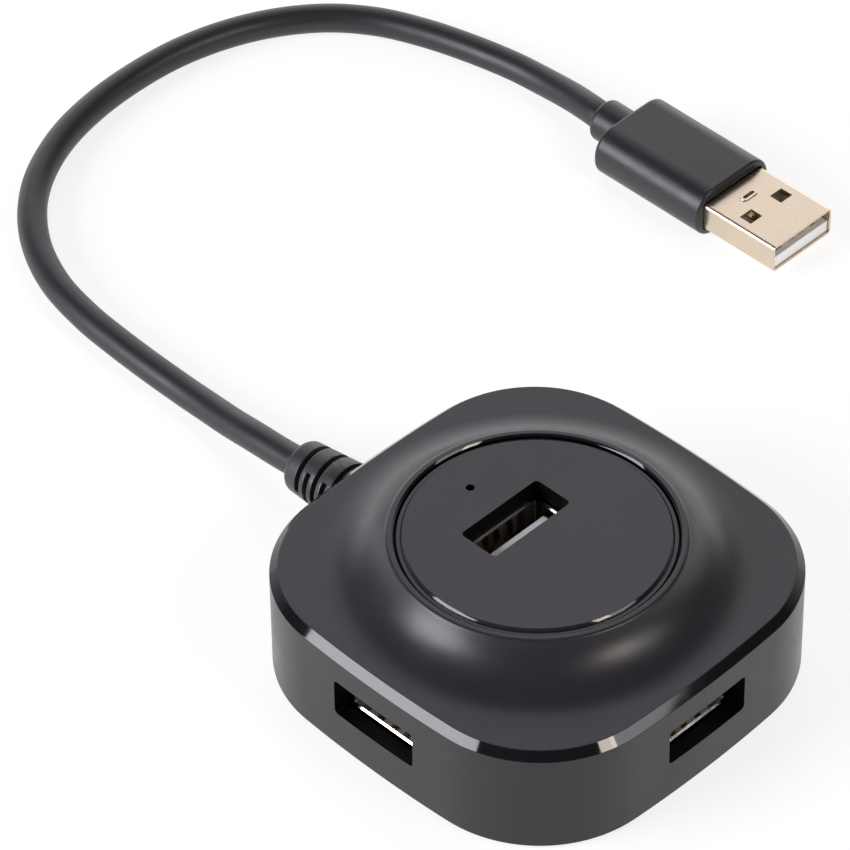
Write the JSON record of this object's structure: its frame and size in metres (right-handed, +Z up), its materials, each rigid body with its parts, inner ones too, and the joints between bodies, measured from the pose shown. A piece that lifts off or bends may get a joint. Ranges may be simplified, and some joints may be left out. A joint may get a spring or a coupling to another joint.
{
  "type": "usb hub",
  "caption": "Square USB hub with round corners, a raised round crown holding an upright port, more ports in its sides, and a short captive cable ending in a USB-A plug.",
  "frame": {"origin": "on the surface that the feet stand on, under the middle of the square body", "axes": "+Z up through the crown, +Y the side that the cable leaves from, -Y the side of the front port, +X the side that the plug lies on"},
  "size_m": [0.1192, 0.1547, 0.0222],
  "materials": {
    "housing": "fine matte texture on the deck, glossy chamfer, satin sides",
    "cover": "fine matte texture",
    "disk": "flat gloss with a bright bevelled edge",
    "light_pipe": "clear acrylic, frosted end",
    "board": "green solder mask",
    "socket_steel": "tin-plated sheet",
    "insulator": "white thermoplastic",
    "contact_gold": "gold-plated strip",
    "chip": "moulded epoxy",
    "crystal_can": "drawn metal can",
    "led_body": "white package with a clear lens",
    "can_metal": "satin can, black sleeve mark",
    "capacitor_body": "fired ceramic",
    "resistor_body": "dark film with tinned ends",
    "wire": "coloured PVC insulation",
    "relief": "soft moulded PVC",
    "cable": "matte PVC jacket",
    "grip": "satin moulded PVC",
    "plug_steel": "warm nickel-plated sheet",
    "foot": "soft pad",
    "screw": "zinc-plated"
  },
  "bodies": {
    "root": {"top_housing": "housing", "bottom_cover": "cover", "crown_disk": "disk", "light_pipe": "light_pipe", "circuit_board": "board", "hub_chip": "chip", "crystal": "crystal_can", "status_led": "led_body", "can_capacitors": "can_metal", "chip_capacitors": "capacitor_body", "chip_resistors": "resistor_body", "cable_wires": "wire", "strain_relief": "relief", "cable": "cable", "plug_grip": "grip", "plug_shell": "plug_steel", "plug_tongue": "insulator", "plug_contacts": "contact_gold", "rubber_feet": "foot", "case_screws": "screw", "left_port_shell": "socket_steel", "left_port_tongue": "insulator", "left_port_contacts": "contact_gold", "front_port_shell": "socket_steel", "front_port_tongue": "insulator", "front_port_contacts": "contact_gold", "right_port_shell": "socket_steel", "right_port_tongue": "insulator", "right_port_contacts": "contact_gold", "top_port_shell": "socket_steel", "top_port_tongue": "insulator", "top_port_contacts": "contact_gold"}
  },
  "joints": []
}
